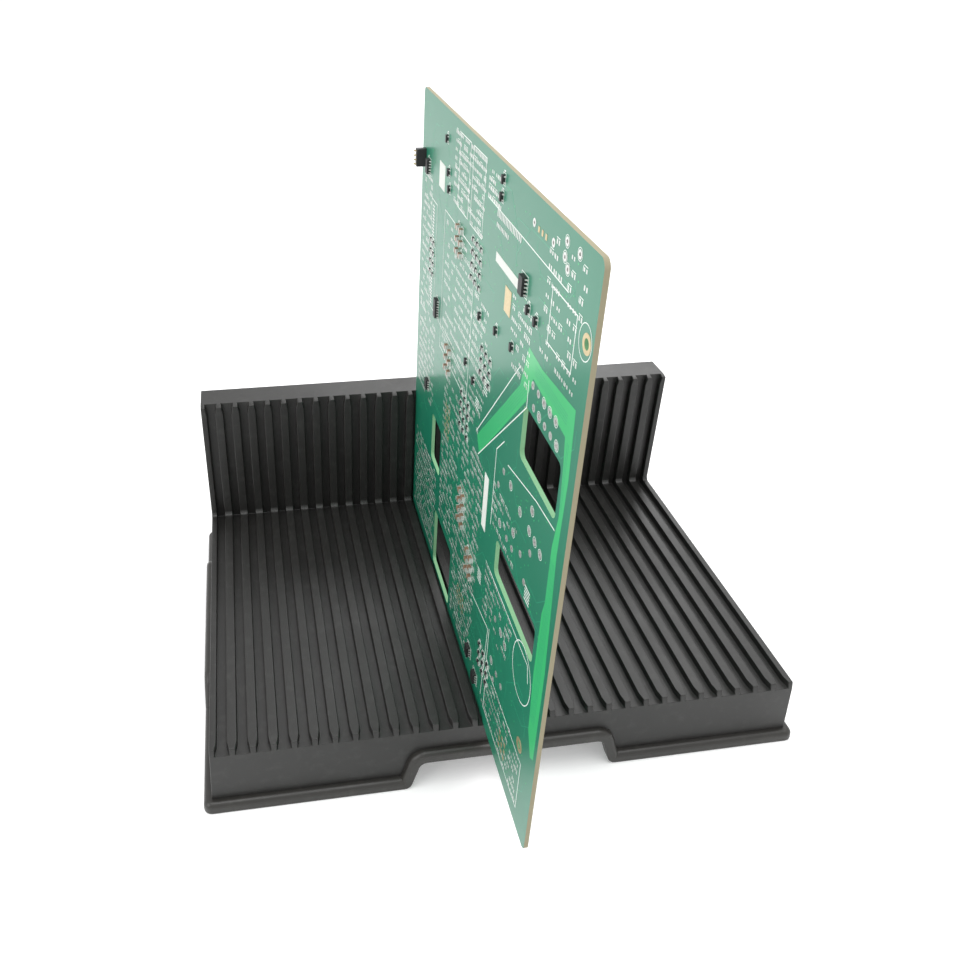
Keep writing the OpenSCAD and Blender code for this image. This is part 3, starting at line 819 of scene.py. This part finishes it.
def ink_frame(low_u, low_v, high_u, high_v, width=0.22):
    """A rectangle drawn in ink."""
    lay_path(
        shape_ink,
        [(low_u, low_v), (high_u, low_v), (high_u, high_v), (low_u, high_v), (low_u, low_v)],
        width, INK_LOW, INK_HIGH,
    )


for name, found in chips.items():
    margin = 1.5 if name.startswith("logic") else 0.8
    for low_u, low_v, high_u, high_v in found:
        ink_frame(low_u - margin, low_v - 0.5, high_u + margin, high_v + 0.5, 0.26)
        if dice.random() < 0.6:
            lay_bar(shape_ink, (low_u, high_v + 1.2), (low_u + 1.8, high_v + 1.2), 0.5, INK_LOW, INK_HIGH)
for frame_corners in (
    (73.5, 196.0, 90.2, 225.0), (94.6, 195.7, 112.6, 225.0), (52.0, 124.0, 105.0, 188.0),
    (24.5, 134.0, 36.0, 185.0), (191.5, 191.5, 212.0, 208.8), (163.0, 8.0, 212.0, 32.0),
):
    ink_frame(*frame_corners, width=0.45)
for path in (
    [(118, 213), (163, 212.6), (203.5, 212)], [(134.2, 45.6), (160.2, 49.4), (157.6, 9.8)],
    [(128, 112.6), (179.6, 162.8), (179.2, 172.3)], [(123.5, 120.8), (169.5, 172.5)],
    [(162, 22), (162, 51)], [(46.7, 134.3), (91.4, 132.5)], [(156.5, 76.5), (207, 76.5), (209, 70)],
    [(166.4, 132.2), (197.8, 138.8), (215, 140.5)], [(152, 96), (152, 130), (160, 138)],
):
    lay_path(shape_ink, path, 0.42, INK_LOW, INK_HIGH)
lay_ring(shape_ink, (202.0, 68.0), 10.4, 12.2, 0.35, INK_LOW, INK_HIGH, corners=40)
lay_ring(shape_ink, (220.4 - 1.2, 204.5), 4.6, 5.2, 0.3, INK_LOW, INK_HIGH)
for low_u, low_v, high_u, high_v in eyelets:
    if dice.random() < 0.5:
        centre = ((low_u + high_u) / 2, (low_v + high_v) / 2)
        lay_ring(shape_ink, centre, 1.8, 1.8, 0.2, INK_LOW, INK_HIGH, corners=14)
for low_u, low_v, count in ((129, 142, 6), (119, 130, 4), (196, 98, 5), (140, 60, 5)):
    for k in range(count):
        lay_bar(shape_ink, (low_u, low_v + k * 1.3), (low_u + 5.5, low_v + k * 1.3), 0.5, INK_LOW, INK_HIGH)
film(shape_ink, "marking_lines", marking_ink)

# %% [markdown]
# ## The footprint of a long connector
# Near the rear edge stands a tall column of slim pads where a connector would sit.

# %% Lay the long footprint
shape = bmesh.new()
row_v = 136.0
while row_v < 183.5:
    lay_bar(shape, (27.0, row_v), (30.6, row_v), 0.75, 0.004, 0.06)
    row_v += 1.5
film(shape, "long_footprint", tinned)

# %% [markdown]
# ## Floor, lamps and world
# The rack stands on a plain white floor in an even white room, so its shadows are
# short and soft. The camera sees pure white all round, and so do the reflections in
# the board's gloss.


# %% Make the studio
def seen_directly(tree):
    """1 for what the camera, a reflection or a clear part sees of the room, else 0."""
    ray = add_node(tree, "ShaderNodeLightPath")
    glossy = add_node(tree, "ShaderNodeMath", operation="MAXIMUM")
    clear = add_node(tree, "ShaderNodeMath", operation="MAXIMUM")
    join_sockets(tree, ray.outputs["Is Camera Ray"], glossy.inputs[0])
    join_sockets(tree, ray.outputs["Is Glossy Ray"], glossy.inputs[1])
    join_sockets(tree, glossy.outputs["Value"], clear.inputs[0])
    join_sockets(tree, ray.outputs["Is Transmission Ray"], clear.inputs[1])
    return clear.outputs["Value"]


def white_studio_finish():
    """White floor that reaches plain white to the eye and still takes a shadow."""
    material, shader = new_finish("studio_white")
    tree = material.node_tree
    shader.inputs["Base Color"].default_value = (0.86, 0.86, 0.86, 1.0)
    shader.inputs["Roughness"].default_value = 0.9
    lift = add_node(tree, "ShaderNodeMath", operation="MULTIPLY")
    lift.inputs[1].default_value = 0.26
    join_sockets(tree, seen_directly(tree), lift.inputs[0])
    glow = add_node(tree, "ShaderNodeEmission")
    join_sockets(tree, lift.outputs["Value"], glow.inputs["Strength"])
    both = add_node(tree, "ShaderNodeAddShader")
    join_sockets(tree, shader.outputs["BSDF"], both.inputs[0])
    join_sockets(tree, glow.outputs["Emission"], both.inputs[1])
    join_sockets(tree, both.outputs["Shader"], tree.nodes["Material Output"].inputs["Surface"])
    return material


floor_shape = bmesh.new()
bmesh.ops.create_grid(floor_shape, x_segments=1, y_segments=1, size=8.0)
floor_mesh = bpy.data.meshes.new("studio_floor")
floor_shape.to_mesh(floor_mesh)
floor_shape.free()
studio_floor = bpy.data.objects.new("studio_floor", floor_mesh)
bpy.context.scene.collection.objects.link(studio_floor)
studio_floor.data.materials.append(white_studio_finish())


def area_lamp(name, place, target, size, power, colour=(1.0, 1.0, 1.0)):
    """A square soft lamp that looks at a target."""
    data = bpy.data.lights.new(name, "AREA")
    data.shape = "SQUARE"
    data.size = size
    data.energy = power
    data.color = colour
    lamp = bpy.data.objects.new(name, data)
    bpy.context.scene.collection.objects.link(lamp)
    aim = (Vector(target) - Vector(place)).to_track_quat("-Z", "Y")
    lamp.matrix_world = Matrix.Translation(Vector(place)) @ aim.to_matrix().to_4x4()
    return lamp


area_lamp("top_lamp", (0.1, -0.1, 1.3), (0, 0, 0.05), 1.0, 9.0)
area_lamp("left_lamp", (-1.1, -0.5, 0.8), (0, 0, 0.08), 0.8, 6.0)
area_lamp("rear_lamp", (0.5, 1.1, 0.9), (0, 0, 0.1), 0.9, 6.0)

world = bpy.data.worlds.new("white_room")
bpy.context.scene.world = world
world.use_nodes = True
room = world.node_tree.nodes["Background"]
room.inputs["Color"].default_value = (1.0, 1.0, 1.0, 1.0)
room_light = add_node(world.node_tree, "ShaderNodeMapRange")
room_light.inputs["To Min"].default_value = 0.9
room_light.inputs["To Max"].default_value = 1.0
join_sockets(world.node_tree, seen_directly(world.node_tree), room_light.inputs["Value"])
join_sockets(world.node_tree, room_light.outputs["Result"], room.inputs["Strength"])
bpy.context.scene.view_settings.view_transform = "Standard"

# %% [markdown]
# ## The end
# The last cell prints that the scene is built.

# %% Finish
print("scene built")
